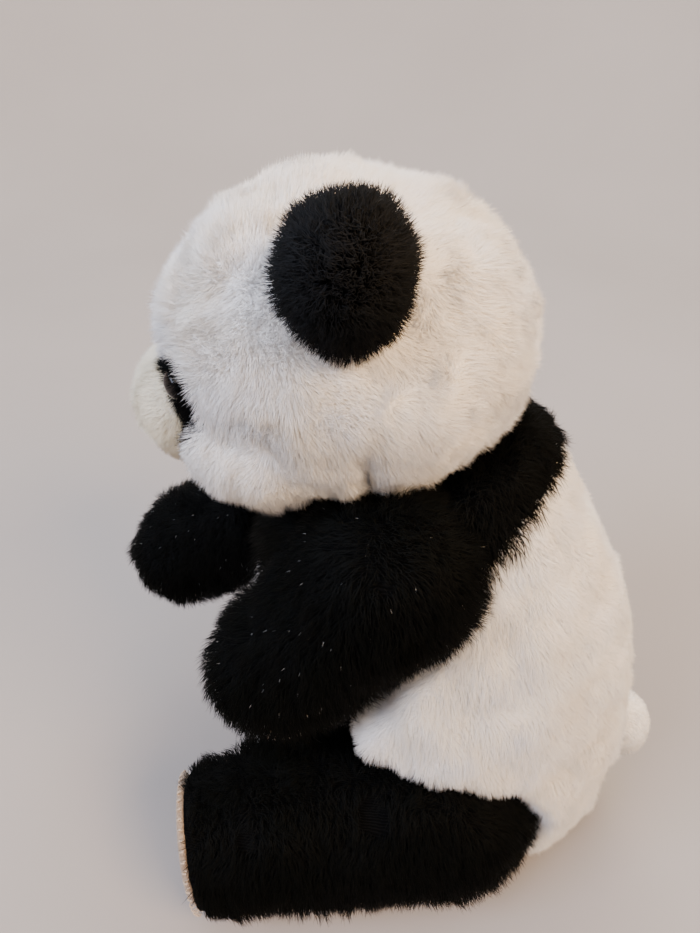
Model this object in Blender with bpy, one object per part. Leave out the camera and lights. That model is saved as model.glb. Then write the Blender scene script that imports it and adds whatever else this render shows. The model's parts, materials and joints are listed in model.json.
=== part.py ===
"""Seated plush panda, built as sewn covers, stuffing, pads and plastic fittings.

Metres, +Z up. The panda faces -Y and its left side is +X. The origin is on the surface it sits on,
under the middle of the whole toy. Covers are thin shells with their real openings, and the stuffing
is a solid core inside each cover.
"""
import math

import bmesh
import bpy
import numpy as np
from mathutils import Matrix, Vector

# ---------------------------------------------------------------- driving dimensions
GAP = 0.0003               # clearance between pieces that touch
POCKET_GAP = 0.0012        # clearance around a part that turns in a rounded pocket
PLUSH = 0.0025             # thickness of the plush fabric with its pile pressed flat
FELT = 0.0018              # thickness of the sewn-on patches and pads

HEAD_CENTRE = Vector((0.0, -0.020, 0.2300))
HEAD_RADII = Vector((0.0630, 0.0620, 0.0520))
CHEEK_CENTRE = Vector((0.0320, -0.0190, -0.0330))   # left cheek in the head's own frame
CHEEK_RADII = Vector((0.0200, 0.0240, 0.0170))
HEAD_TILT = math.radians(11)         # the head leans to its right, left ear up
HEAD_TURN = math.radians(3)          # and faces a little to its right
NECK_CENTRE = Vector((0.0, 0.0, 0.185))     # the head nods and turns about this point
NECK_RADIUS = 0.026
NECK_HALF_GAP = 0.0060     # free height on both sides of the neck centre, for nodding
NECK_LEAN = math.radians(25)         # the neck leans forward
NECK_AXIS = Vector((0.0, -math.sin(NECK_LEAN), math.cos(NECK_LEAN)))

MUZZLE_FORWARD = 0.0505    # middle of the muzzle, forward of and below the middle of the head
MUZZLE_DROP = 0.0280
MUZZLE_RADII = Vector((0.0320, 0.0285, 0.0245))
MUZZLE_TILT = math.radians(2)

# Torso stations: height, middle in Y, half width, half depth
TORSO_STATIONS = (
    (-0.012, 0.020, 0.048, 0.064),
    (0.004, 0.021, 0.059, 0.077),
    (0.022, 0.022, 0.066, 0.083),
    (0.050, 0.023, 0.069, 0.084),
    (0.080, 0.023, 0.068, 0.083),
    (0.110, 0.022, 0.064, 0.078),
    (0.140, 0.020, 0.059, 0.069),
    (0.160, 0.017, 0.055, 0.060),
    (0.180, 0.0125, 0.049, 0.052),
    (0.198, 0.0085, 0.040, 0.043),
    (0.214, 0.005, 0.026, 0.029),
)
TORSO_TOP = NECK_CENTRE - NECK_AXIS * NECK_HALF_GAP
YOKE_SEAM_Z = 0.190        # lower edge of the black yoke on the middle of the back
YOKE_SEAM_CURVE = 178.0    # that edge falls by this times the cube of the distance sideways
CHEST_SEAM_Z = 0.135       # lower edge of the yoke across the chest
CHEST_BACK_Y = 0.020       # side seam of the chest part, hidden under the arms

SOLE_THICKNESS = 0.0030
PAD_RADIUS = 0.0155        # round pad under each paw
PAD_FORWARD = math.radians(15)       # how far it is turned from straight down towards the front
SWING_CLEARANCE = 0.0010   # extra room around a limb's path, cut out of the torso

EAR_AZIMUTH = math.radians(101)      # from straight ahead towards the side of the head
EAR_ELEVATION = math.radians(23)
EAR_WIDTH = 0.0175
EAR_THICKNESS = 0.0145
EAR_HEIGHT = 0.0170
EAR_RISE = 0.0095          # middle of the ear above the skin of the head

EYE_AZIMUTH = math.radians(40)
EYE_ELEVATION = math.radians(-13)
PATCH_WIDTH = 0.0110
PATCH_HEIGHT = 0.0140
PATCH_SLANT = math.radians(32)
PATCH_OUT = 0.0025         # middle of the patch, outward of and below the eye
PATCH_DROP = 0.0055
EYE_RADIUS = 0.0050
EYE_HEIGHT = 0.0036
SHANK_RADIUS = 0.0016
SHANK_LENGTH = 0.0110
WASHER_RADIUS = 0.0052
WASHER_THICKNESS = 0.0014
WASHER_DEPTH = 0.0043      # outer face of a washer below the skin, just inside the cover
NOSE_WIDTH = 0.0078
NOSE_HEIGHT = 0.0054
NOSE_DEPTH = 0.0026
NOSE_ELEVATION = math.radians(6)     # above the foremost point of the muzzle
NOSE_SEAT = 0.0010         # flat back of the nose above the muzzle's skin
THREAD_RADIUS = 0.0006

TAIL_CENTRE = Vector((0.0, 0.1070, 0.0500))      # on the skin of the rump
TAIL_RADIUS = 0.0130
TAIL_RISE = 0.0035
TAIL_OPENING = 0.0065      # radius of the filling opening in the tail's root

FRAME_SHIFT = Vector((0.0, 0.0051, 0.0))    # sets the origin under the middle of the whole toy
FAR = 0.12                 # cutting bodies reach this far, past every side of the torso
THROUGH = 0.02             # half length of a cutter that makes a hole through fabric

SEAT_THICKNESS = 0.0025
BAG_CENTRE = Vector((0.0, -0.004, 0.0))
BAG_RADII = Vector((0.019, 0.034, 0.024))

WHITE = (0.86, 0.84, 0.78)
CREAM = (0.80, 0.74, 0.62)
BLACK = (0.012, 0.012, 0.013)
BEIGE = (0.55, 0.44, 0.33)
FIBRE = (0.90, 0.90, 0.88)
PELLET_CLOTH = (0.70, 0.70, 0.66)
GLOSS_BLACK = (0.006, 0.006, 0.006)
CLEAR_PLASTIC = (0.75, 0.75, 0.73)

PLUSH_ROUGHNESS = 0.9
FELT_ROUGHNESS = 0.85
FIBRE_ROUGHNESS = 0.95
THREAD_ROUGHNESS = 0.6
EYE_ROUGHNESS = 0.12
NOSE_ROUGHNESS = 0.25
WASHER_ROUGHNESS = 0.4


# ---------------------------------------------------------------- scene helpers
def clear_scene():
    for item in list(bpy.data.objects):
        bpy.data.objects.remove(item, do_unlink=True)


def material(name, colour, roughness, metallic=0.0):
    """Principled material with the colour, roughness and metallic value of one piece."""
    made = bpy.data.materials.new(name)
    made.use_nodes = True
    shader = made.node_tree.nodes["Principled BSDF"]
    shader.inputs["Base Color"].default_value = (*colour, 1.0)
    shader.inputs["Roughness"].default_value = roughness
    shader.inputs["Metallic"].default_value = metallic
    made.diffuse_color = (*colour, 1.0)
    return made


def mesh_object(name, bm):
    """Object from a bmesh, with its faces turned outward."""
    bmesh.ops.recalc_face_normals(bm, faces=bm.faces)
    mesh = bpy.data.meshes.new(name)
    bm.to_mesh(mesh)
    bm.free()
    made = bpy.data.objects.new(name, mesh)
    bpy.context.scene.collection.objects.link(made)
    return made


def boolean(target, tool, operation):
    """Apply one exact boolean to the target and remove the tool."""
    modifier = target.modifiers.new("cut", "BOOLEAN")
    modifier.operation = operation
    modifier.solver = "EXACT"
    modifier.object = tool
    graph = bpy.context.evaluated_depsgraph_get()
    result = bpy.data.meshes.new_from_object(target.evaluated_get(graph))
    target.modifiers.clear()
    target.data = result
    bpy.data.objects.remove(tool, do_unlink=True)
    return target


def minus(target, *tools):
    for tool in tools:
        boolean(target, tool, "DIFFERENCE")
    return target


def within(target, tool):
    return boolean(target, tool, "INTERSECT")


def finish(made, colour, roughness, origin=Vector((0.0, 0.0, 0.0)), metallic=0.0):
    """Give a piece its material, smooth shading and an origin on its joint's axis."""
    made.data.materials.clear()
    made.data.materials.append(material(made.name + "_material", colour, roughness, metallic))
    made.data.transform(Matrix.Translation(-origin))
    made.location = origin + FRAME_SHIFT
    made.data.shade_smooth()
    made.data.set_sharp_from_angle(angle=math.radians(40))
    return made


# ---------------------------------------------------------------- shape helpers
def slice_off(bm, point, normal):
    """Remove what lies beyond a plane and close the cut with one flat face."""
    geometry = bm.verts[:] + bm.edges[:] + bm.faces[:]
    bmesh.ops.bisect_plane(bm, geom=geometry, plane_co=point, plane_no=normal, clear_outer=True)
    rim = [edge for edge in bm.edges if edge.is_boundary]
    if rim:
        bmesh.ops.contextual_create(bm, geom=rim)


def ellipsoid_bm(radii, place=Matrix.Identity(4), around=24, rows=14):
    bm = bmesh.new()
    scale = Matrix.Diagonal((*radii, 1.0))
    bmesh.ops.create_uvsphere(bm, u_segments=around, v_segments=rows, radius=1.0, matrix=place @ scale)
    return bm


def loft_bm(rings, around=20):
    """Closed body through elliptical rings; each ring is centre, side, up, half width, half height."""
    bm = bmesh.new()
    loops = []
    for centre, side, up, half_width, half_height in rings:
        loop = []
        for step in range(around):
            angle = math.tau * step / around
            offset = side * (half_width * math.cos(angle)) + up * (half_height * math.sin(angle))
            loop.append(bm.verts.new(centre + offset))
        loops.append(loop)
    for lower, upper in zip(loops, loops[1:]):
        for step in range(around):
            after = (step + 1) % around
            bm.faces.new((lower[step], lower[after], upper[after], upper[step]))
    bm.faces.new(loops[0])
    bm.faces.new(loops[-1])
    return bm


def turned_object(name, profile, place, around=12):
    """Body turned about local Z through (radius, height) points; both ends are closed."""
    side = Vector((1.0, 0.0, 0.0))
    up = Vector((0.0, 1.0, 0.0))
    rings = [(Vector((0.0, 0.0, height)), side, up, radius, radius) for radius, height in profile]
    bm = loft_bm(rings, around)
    bmesh.ops.transform(bm, matrix=place, verts=bm.verts)
    return mesh_object(name, bm)


def cylinder(name, place, radius, start, end, around=12):
    return turned_object(name, ((radius, start), (radius, end)), place, around)


def box(name, low, high, place=Matrix.Identity(4)):
    bm = bmesh.new()
    middle = (low + high) / 2
    size = high - low
    local = Matrix.Translation(middle) @ Matrix.Diagonal((*size, 1.0))
    bmesh.ops.create_cube(bm, size=1.0, matrix=place @ local)
    return mesh_object(name, bm)


def facing(origin, outward, upward=Vector((0.0, 0.0, 1.0))):
    """Placement whose local Z points outward and local Y points as nearly upward as it can."""
    z_axis = outward.normalized()
    x_axis = upward.cross(z_axis).normalized()
    y_axis = z_axis.cross(x_axis)
    turn = Matrix((x_axis, y_axis, z_axis)).transposed().to_4x4()
    return Matrix.Translation(origin) @ turn


def direction(azimuth, elevation, side=1):
    """Unit direction from straight ahead (-Y), turned towards one side and raised."""
    flat = math.cos(elevation)
    return Vector((side * math.sin(azimuth) * flat, -math.cos(azimuth) * flat, math.sin(elevation)))


def head_place():
    turn = Matrix.Rotation(-HEAD_TURN, 4, "Z")
    tilt = Matrix.Rotation(-HEAD_TILT, 4, "Y")
    return Matrix.Translation(HEAD_CENTRE) @ turn @ tilt


def on_head(azimuth, elevation, side=1):
    """Point on the head's skin and the outward normal there."""
    ray = direction(azimuth, elevation, side)
    scaled = Vector([ray[axis] / HEAD_RADII[axis] for axis in range(3)])
    point = ray / scaled.length
    normal = Vector([point[axis] / HEAD_RADII[axis] ** 2 for axis in range(3)]).normalized()
    place = head_place()
    return place @ point, place.to_3x3() @ normal


# ---------------------------------------------------------------- limb design
class Limb:
    """One arm or leg: a tapered capsule with a flat root that swings about the root's normal."""

    def __init__(self, side, pivot, splay, root_plane, root_reach, tip, radii, swing):
        self.side = side
        self.pivot = Vector((side * pivot[0], pivot[1], pivot[2]))
        self.forward = Vector((side * math.sin(splay), -math.cos(splay), 0.0))
        self.hinge = Vector((side * math.cos(splay), math.sin(splay), 0.0))
        self.root_plane = root_plane
        self.root_reach = root_reach
        reach, rise = tip
        self.end = self.pivot + self.forward * reach + Vector((0.0, 0.0, rise))
        self.axis = (self.end - self.pivot).normalized()
        self.root_radius, self.end_radius = radii
        rest = math.atan2(rise, reach)
        self.swing = (rest + math.radians(swing[0]), rest + math.radians(swing[1]))

    def frame(self):
        """Placement with X forward, Y along the hinge away from the torso, Z up, at the hinge point."""
        turn = Matrix((self.forward, self.hinge, Vector((0.0, 0.0, 1.0)))).transposed().to_4x4()
        return Matrix.Translation(self.pivot) @ turn

    def root_depth(self):
        """Distance along the hinge from the hinge point back to the flat root."""
        return self.root_plane - self.pivot.dot(self.hinge)


# Each limb: hinge point, splay, distance of its flat root from the middle, how far forward the flat
# root reaches, tip (along, up) from the hinge point, radii at both ends, swing (down, up) in degrees.
def arm(side):
    if side > 0:
        return Limb(1, (0.048, 0.006, 0.163), math.radians(8), 0.0350, FAR,
                    (0.037, -0.046), (0.0300, 0.0265), (-8, 32))
    return Limb(-1, (0.050, 0.002, 0.152), math.radians(-6), 0.0360, 0.075,
                (0.110, -0.064), (0.0300, 0.0265), (-4, 12))


def leg(side):
    return Limb(side, (0.0403, 0.0308, 0.0360), math.radians(21), 0.0300, FAR,
                (0.107, -0.0092), (0.0400, 0.0268), (0, 20))


def limbs():
    return [arm(1), arm(-1), leg(1), leg(-1)]


def bay(name, limb, inset):
    """Room for a limb's root and its swing, cut from the torso outside the limb's root plane."""
    radius = limb.root_radius + SWING_CLEARANCE + inset
    low, high = limb.swing
    start = low - math.pi / 2
    sweep = math.pi - (high - low)
    steps = 10
    outline = []
    for step in range(steps + 1):
        angle = start - sweep * step / steps
        outline.append((radius * math.cos(angle), radius * math.sin(angle)))
    for angle, sign in ((high, 1), (low, -1)):
        along = 2 * FAR * math.cos(angle) - sign * radius * math.sin(angle)
        rise = 2 * FAR * math.sin(angle) + sign * radius * math.cos(angle)
        outline.append((along, rise))
    bm = bmesh.new()
    depth = limb.root_depth() - inset
    face = bm.faces.new([bm.verts.new((along, depth, rise)) for along, rise in outline])
    grown = bmesh.ops.extrude_face_region(bm, geom=[face])["geom"]
    moved = [item for item in grown if isinstance(item, bmesh.types.BMVert)]
    bmesh.ops.translate(bm, verts=moved, vec=(0.0, FAR, 0.0))
    bmesh.ops.transform(bm, matrix=limb.frame(), verts=bm.verts)
    return mesh_object(name, bm)


# ---------------------------------------------------------------- torso
def torso_form(name, inset, bottom, top):
    """Seated torso with its limb bays, drawn in by an inset and cut flat below and at the neck."""
    stations = np.array(TORSO_STATIONS)
    heights = np.linspace(stations[0, 0], stations[-1, 0], 13)
    side = Vector((1.0, 0.0, 0.0))
    up = Vector((0.0, 1.0, 0.0))
    rings = []
    for height in heights:
        middle, half_width, half_depth = smooth_values(stations, height)
        centre = Vector((0.0, middle, height))
        rings.append((centre, side, up, half_width - inset, half_depth - inset))
    bm = loft_bm(rings, 22)
    slice_off(bm, Vector((0.0, 0.0, bottom)), Vector((0.0, 0.0, -1.0)))
    if top.z < stations[-1, 0]:
        slice_off(bm, top, NECK_AXIS)
    bmesh.ops.triangulate(bm, faces=bm.faces)
    made = mesh_object(name, bm)
    for limb in limbs():
        minus(made, bay("bay_cutter", limb, inset))
    return made


def smooth_values(stations, height):
    """Smooth curve through the station columns, read at one height."""
    knots = stations[:, 0]
    index = int(np.clip(np.searchsorted(knots, height) - 1, 0, len(knots) - 2))
    slopes = np.gradient(stations[:, 1:], knots, axis=0)
    span = knots[index + 1] - knots[index]
    t = (height - knots[index]) / span
    start = stations[index, 1:]
    end = stations[index + 1, 1:]
    rise_start = slopes[index] * span
    rise_end = slopes[index + 1] * span
    return (
        (2 * t ** 3 - 3 * t ** 2 + 1) * start
        + (t ** 3 - 2 * t ** 2 + t) * rise_start
        + (3 * t ** 2 - 2 * t ** 3) * end
        + (t ** 3 - t ** 2) * rise_end
    )


def roof(name, drop):
    """Space above the yoke's seam, whose edge falls to both sides and runs level across the chest."""
    outline = [(FAR, 2 * FAR), (-FAR, 2 * FAR)]
    for step in range(25):
        across = FAR * (step / 12 - 1.0)
        outline.append((across, YOKE_SEAM_Z - drop - YOKE_SEAM_CURVE * abs(across) ** 3))
    bm = bmesh.new()
    front = [bm.verts.new((x, -FAR, z)) for x, z in outline]
    face = bm.faces.new(front)
    grown = bmesh.ops.extrude_face_region(bm, geom=[face])["geom"]
    moved = [item for item in grown if isinstance(item, bmesh.types.BMVert)]
    bmesh.ops.translate(bm, verts=moved, vec=(0.0, 2 * FAR, 0.0))
    low = Vector((-FAR, -2 * FAR, CHEST_SEAM_Z - drop))
    high = Vector((FAR, CHEST_BACK_Y + drop, FAR + YOKE_SEAM_Z))
    return boolean(mesh_object(name, bm), box("chest", low, high), "UNION")


def neck_ball(name, grow):
    place = Matrix.Translation(NECK_CENTRE)
    radius = NECK_RADIUS + grow
    return mesh_object(name, ellipsoid_bm((radius, radius, radius), place, 16, 10))


def bag_form(name, grow):
    """Pellet bag: the upper half of a flat ellipsoid that rests just above the seat panel."""
    radii = BAG_RADII + Vector((grow, grow, grow))
    bm = ellipsoid_bm(radii, Matrix.Translation(BAG_CENTRE), 16, 8)
    floor = SEAT_THICKNESS + GAP - (0.004 if grow else 0.0)
    slice_off(bm, Vector((0.0, 0.0, floor)), Vector((0.0, 0.0, -1.0)))
    return mesh_object(name, bm)


def make_torso():
    shell = minus(
        torso_form("body_cover", 0.0, 0.0, TORSO_TOP),
        torso_form("hollow", PLUSH, -THROUGH, Vector((0.0, 0.0, 2 * FAR))),
        neck_ball("neck_cutter", POCKET_GAP),
        tail_root("tail_cutter", POCKET_GAP),
    )
    yoke = shell.copy()
    yoke.data = shell.data.copy()
    yoke.name = "shoulder_yoke"
    bpy.context.scene.collection.objects.link(yoke)
    finish(minus(shell, roof("above_seam", GAP / 2)), WHITE, PLUSH_ROUGHNESS)
    finish(within(yoke, roof("above_seam", -GAP / 2)), BLACK, PLUSH_ROUGHNESS)

    panel = torso_form("seat_panel", PLUSH + GAP, 0.0, TORSO_TOP)
    slab = box("slab", Vector((-FAR, -FAR, -THROUGH)), Vector((FAR, FAR, SEAT_THICKNESS)))
    finish(within(panel, slab), WHITE, PLUSH_ROUGHNESS)
    stuffing = minus(
        torso_form("body_stuffing", PLUSH + GAP, SEAT_THICKNESS + GAP, TORSO_TOP),
        neck_ball("neck_cutter", POCKET_GAP),
        tail_root("tail_cutter", POCKET_GAP),
        bag_form("bag_cutter", GAP),
    )
    finish(stuffing, FIBRE, FIBRE_ROUGHNESS)
    finish(bag_form("pellet_bag", 0.0), PELLET_CLOTH, FELT_ROUGHNESS)
    finish(neck_ball("neck_stuffing", 0.0), FIBRE, FIBRE_ROUGHNESS, NECK_CENTRE)


# ---------------------------------------------------------------- tail
def ball_end_rings(radius, rise, root_scale, rows=8):
    """Ring sizes of a ball on a root that is round about the hinge line at height zero."""
    waist = math.sqrt(1.0 - (rise / radius) ** 2)
    root = radius * waist * root_scale
    rings = []
    for step in range(1, rows // 2):
        height = -root * math.cos(math.pi / 2 * step / (rows // 2))
        rings.append((height, waist * math.sqrt(1.0 - (height / root) ** 2)))
    for step in range(rows):
        angle = math.acos(-rise / radius) * (1.0 - step / rows)
        rings.append((rise + radius * math.cos(angle), math.sin(angle)))
    return rings


def tail_frame():
    outward = Vector((0.0, 1.0, 0.18))
    return facing(TAIL_CENTRE, outward)


def tail_form(name, inset):
    radius = TAIL_RADIUS - inset
    rings = []
    for height, scale in ball_end_rings(radius, TAIL_RISE, 1.0):
        rings.append((max(radius * scale, 0.0008), height))
    return turned_object(name, rings, tail_frame(), 12)


def tail_root(name, grow):
    radius = math.sqrt(TAIL_RADIUS ** 2 - TAIL_RISE ** 2) + grow
    place = Matrix.Translation(TAIL_CENTRE)
    return mesh_object(name, ellipsoid_bm((radius, radius, radius), place, 16, 12))


def make_tail():
    root_plane = -0.004
    opening = cylinder("root_opening", tail_frame(), TAIL_OPENING, -THROUGH, root_plane)
    cover = minus(tail_form("tail_cover", 0.0), tail_form("hollow", PLUSH), opening)
    finish(cover, WHITE, PLUSH_ROUGHNESS, TAIL_CENTRE)
    finish(tail_form("tail_stuffing", PLUSH + GAP), FIBRE, FIBRE_ROUGHNESS, TAIL_CENTRE)


# ---------------------------------------------------------------- head
def head_form(name, inset, around=20, rows=14, based=False):
    """Head with full cheeks, drawn in by an inset; a based head is cut flat above the neck."""
    shrink = Vector((inset, inset, inset))
    made = mesh_object(name, ellipsoid_bm(HEAD_RADII - shrink, head_place(), around, rows))
    for side in (1, -1):
        centre = Vector((side * CHEEK_CENTRE.x, CHEEK_CENTRE.y, CHEEK_CENTRE.z))
        place = head_place() @ Matrix.Translation(centre)
        boolean(made, mesh_object("cheek", ellipsoid_bm(CHEEK_RADII - shrink, place, 16, 10)), "UNION")
    if based:
        place = facing(NECK_CENTRE, NECK_AXIS, Vector((0.0, 1.0, 0.0)))
        low = Vector((-FAR, -FAR, -FAR))
        high = Vector((FAR, FAR, NECK_HALF_GAP))
        minus(made, box("base_cutter", low, high, place))
    return made


def eye_frame(side):
    point, normal = on_head(EYE_AZIMUTH, EYE_ELEVATION, side)
    return facing(point, normal)


def muzzle_place():
    offset = Vector((0.0, -MUZZLE_FORWARD, -MUZZLE_DROP))
    return head_place() @ Matrix.Translation(offset) @ Matrix.Rotation(MUZZLE_TILT, 4, "X")


def nose_frame():
    """On the muzzle's skin, a little above its foremost point."""
    ray = direction(0.0, NOSE_ELEVATION)
    local = Vector([ray[axis] * MUZZLE_RADII[axis] for axis in range(3)])
    normal = Vector([ray[axis] / MUZZLE_RADII[axis] for axis in range(3)])
    place = muzzle_place()
    return facing(place @ local, place.to_3x3() @ normal)


def muzzle_form(name, inset):
    radii = MUZZLE_RADII - Vector((inset, inset, inset))
    return mesh_object(name, ellipsoid_bm(radii, muzzle_place(), 18, 10))


def fitting(name, frame, radius, height, squash, seat):
    """Plastic eye or nose: a dome on a shank that passes through the fabric."""
    profile = [(SHANK_RADIUS, -SHANK_LENGTH), (SHANK_RADIUS, seat), (radius, seat)]
    for step in range(1, 6):
        angle = math.pi / 2 * step / 6
        profile.append((radius * math.cos(angle), seat + height * math.sin(angle)))
    made = turned_object(name, profile, Matrix.Identity(4))
    stretch = Matrix.Diagonal((1.0, squash, 1.0, 1.0))
    for vertex in made.data.vertices:
        if vertex.co.z >= seat - GAP and vertex.co.xy.length > SHANK_RADIUS + GAP:
            vertex.co = stretch @ vertex.co
    made.data.transform(frame)
    return made


def washer(name, frame):
    """Retaining washer pressed onto the shank inside the cover."""
    ring = cylinder(name, frame, WASHER_RADIUS, -WASHER_DEPTH - WASHER_THICKNESS, -WASHER_DEPTH)
    return minus(ring, cylinder("hole", frame, SHANK_RADIUS + GAP, -THROUGH, THROUGH))


def patch(name, side):
    """Black patch of plush around one eye, following the head's curve and ending at the muzzle."""
    slant = Matrix.Rotation(side * PATCH_SLANT, 4, "Z")
    frame = eye_frame(side) @ Matrix.Translation((side * PATCH_OUT, -PATCH_DROP, 0.0)) @ slant
    oval = frame @ Matrix.Diagonal((PATCH_WIDTH, PATCH_HEIGHT, 1.0, 1.0))
    outline = cylinder("outline", oval, 1.0, -THROUGH, THROUGH, 24)
    made = minus(head_form(name, -FELT, 40, 26), head_form("inside", -GAP, 40, 26))
    made = within(made, outline)
    shank_hole = cylinder("hole", eye_frame(side), SHANK_RADIUS + GAP, -THROUGH, THROUGH)
    return minus(made, shank_hole, muzzle_form("muzzle_cutter", -GAP))


def make_head():
    cover = minus(head_form("head_cover", 0.0, based=True), head_form("hollow", PLUSH))
    stuffing = head_form("head_stuffing", PLUSH + GAP, based=True)
    for piece in (cover, stuffing):
        minus(piece, neck_ball("neck_cutter", POCKET_GAP))
        for side in (1, -1):
            minus(piece, ear_root("ear_cutter", side, POCKET_GAP))
    for side in (1, -1):
        frame = eye_frame(side)
        minus(cover, cylinder("hole", frame, SHANK_RADIUS + GAP, -THROUGH, THROUGH))
        pocket_end = -SHANK_LENGTH - GAP
        minus(stuffing, cylinder("pocket", frame, WASHER_RADIUS + GAP, pocket_end, 0.0))
    finish(cover, WHITE, PLUSH_ROUGHNESS, NECK_CENTRE)
    finish(stuffing, FIBRE, FIBRE_ROUGHNESS, NECK_CENTRE)

    for side, suffix in ((1, "left"), (-1, "right")):
        frame = eye_frame(side)
        finish(patch("eye_patch_" + suffix, side), BLACK, PLUSH_ROUGHNESS, NECK_CENTRE)
        eye = fitting("eye_" + suffix, frame, EYE_RADIUS, EYE_HEIGHT, 1.0, FELT + GAP)
        finish(eye, GLOSS_BLACK, EYE_ROUGHNESS, NECK_CENTRE)
        disc = washer("eye_washer_" + suffix, frame)
        finish(disc, CLEAR_PLASTIC, WASHER_ROUGHNESS, NECK_CENTRE)


def make_muzzle():
    frame = nose_frame()
    cover = minus(
        muzzle_form("muzzle_cover", 0.0),
        muzzle_form("hollow", PLUSH),
        head_form("head_cutter", -GAP, 40, 26),
        cylinder("hole", frame, SHANK_RADIUS + GAP, -THROUGH, THROUGH),
    )
    finish(cover, CREAM, PLUSH_ROUGHNESS, NECK_CENTRE)
    stuffing = minus(
        muzzle_form("muzzle_stuffing", PLUSH + GAP),
        head_form("head_cutter", -GAP, 40, 26),
        cylinder("pocket", frame, WASHER_RADIUS + GAP, -SHANK_LENGTH - GAP, 0.0),
    )
    finish(stuffing, FIBRE, FIBRE_ROUGHNESS, NECK_CENTRE)
    nose = fitting("nose", frame, NOSE_WIDTH, NOSE_DEPTH, NOSE_HEIGHT / NOSE_WIDTH, NOSE_SEAT)
    finish(nose, GLOSS_BLACK, NOSE_ROUGHNESS, NECK_CENTRE)
    disc = washer("nose_washer", frame)
    finish(disc, CLEAR_PLASTIC, WASHER_ROUGHNESS, NECK_CENTRE)
    finish(mouth_stitch("mouth_stitch"), BLACK, THREAD_ROUGHNESS, NECK_CENTRE)


def mouth_stitch(name):
    """Embroidered mouth: a short line under the nose that curves up to one side and the other."""
    lift = THREAD_RADIUS + GAP
    radii = MUZZLE_RADII + Vector((lift, lift, lift)) * 1.25
    angles = []
    for step in range(13):
        along = step / 6 - 1.0
        angles.append((along * math.radians(34), math.radians(-42 + 13 * along * along)))
    points = []
    for azimuth, elevation in angles:
        ray = direction(azimuth, elevation)
        points.append(Vector([ray[axis] * radii[axis] for axis in range(3)]))
    curve = bpy.data.curves.new(name + "_line", "CURVE")
    curve.dimensions = "3D"
    curve.bevel_depth = THREAD_RADIUS
    curve.bevel_resolution = 1
    curve.use_fill_caps = True
    spline = curve.splines.new("POLY")
    spline.points.add(len(points) - 1)
    for target, point in zip(spline.points, points):
        target.co = (*(muzzle_place() @ point), 1.0)
    line = bpy.data.objects.new(name + "_line", curve)
    bpy.context.scene.collection.objects.link(line)
    graph = bpy.context.evaluated_depsgraph_get()
    mesh = bpy.data.meshes.new_from_object(line.evaluated_get(graph))
    bpy.data.objects.remove(line, do_unlink=True)
    bm = bmesh.new()
    bm.from_mesh(mesh)
    bmesh.ops.remove_doubles(bm, verts=bm.verts, dist=0.00001)
    return mesh_object(name, bm)


# ---------------------------------------------------------------- ears
def ear_frame(side):
    """Local Z leaves the head, local X is the hinge line along the ear's width."""
    point, normal = on_head(EAR_AZIMUTH, EAR_ELEVATION, side)
    forward = Vector((0.0, -1.0, 0.0))
    return facing(point, normal, forward)


def ear_waist():
    return math.sqrt(1.0 - (EAR_RISE / EAR_HEIGHT) ** 2)


def ear_root(name, side, grow):
    """Pocket for the ear's root: round about the hinge line, so the ear can bend in it."""
    width = EAR_WIDTH * ear_waist() + grow
    depth = EAR_THICKNESS * ear_waist() + grow
    return mesh_object(name, ellipsoid_bm((width, depth, depth), ear_frame(side), 14, 10))


def ear_form():
    """Whole ear in its own frame: an oval ball on a root that is round about the hinge line."""
    waist = ear_waist()
    root = EAR_THICKNESS * waist
    sizes = []
    for step in range(1, 5):
        height = -root * math.cos(math.pi / 2 * step / 5)
        sizes.append((height, waist * math.sqrt(1.0 - (height / root) ** 2)))
    start = math.acos(-EAR_RISE / EAR_HEIGHT)
    for step in range(7):
        angle = start * (1.0 - step / 7)
        sizes.append((EAR_RISE + EAR_HEIGHT * math.cos(angle), math.sin(angle)))
    across = Vector((1.0, 0.0, 0.0))
    through = Vector((0.0, 1.0, 0.0))
    rings = []
    for height, scale in sizes:
        centre = Vector((0.0, 0.0, height))
        rings.append((centre, across, through, EAR_WIDTH * scale, EAR_THICKNESS * scale))
    return loft_bm(rings, 14)


def make_ears():
    for side, suffix in ((1, "left"), (-1, "right")):
        frame = ear_frame(side)
        pivot = frame.translation
        for label, sign in (("front", 1), ("back", -1)):
            bm = ear_form()
            slice_off(bm, Vector((0.0, sign * GAP / 2, 0.0)), Vector((0.0, -sign, 0.0)))
            bmesh.ops.transform(bm, matrix=frame, verts=bm.verts)
            panel = mesh_object("ear_" + label + "_" + suffix, bm)
            finish(panel, BLACK, PLUSH_ROUGHNESS, pivot)


# ---------------------------------------------------------------- limbs
def limb_rings(start, end, start_radius, end_radius, inset, rows=10):
    """Rings of a tapered capsule between two centres."""
    axis = (end - start).normalized()
    side = axis.cross(Vector((0.0, 0.0, 1.0))).normalized()
    up = side.cross(axis)
    length = (end - start).length
    rings = []
    for step in range(1, rows // 2):
        angle = math.pi / 2 * step / (rows // 2)
        radius = start_radius - inset
        rings.append((start - axis * (radius * math.cos(angle)), side, up, radius * math.sin(angle)))
    for step in range(3):
        part = step / 2
        radius = start_radius + (end_radius - start_radius) * part - inset
        rings.append((start + axis * (length * part), side, up, radius))
    for step in range(1, rows // 2):
        angle = math.pi / 2 * step / (rows // 2)
        radius = end_radius - inset
        rings.append((end + axis * (radius * math.sin(angle)), side, up, radius * math.cos(angle)))
    return [(centre, s, u, radius, radius) for centre, s, u, radius in rings]


def limb_capsule(limb, inset):
    return loft_bm(limb_rings(limb.pivot, limb.end, limb.root_radius, limb.end_radius, inset), 16)


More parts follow.
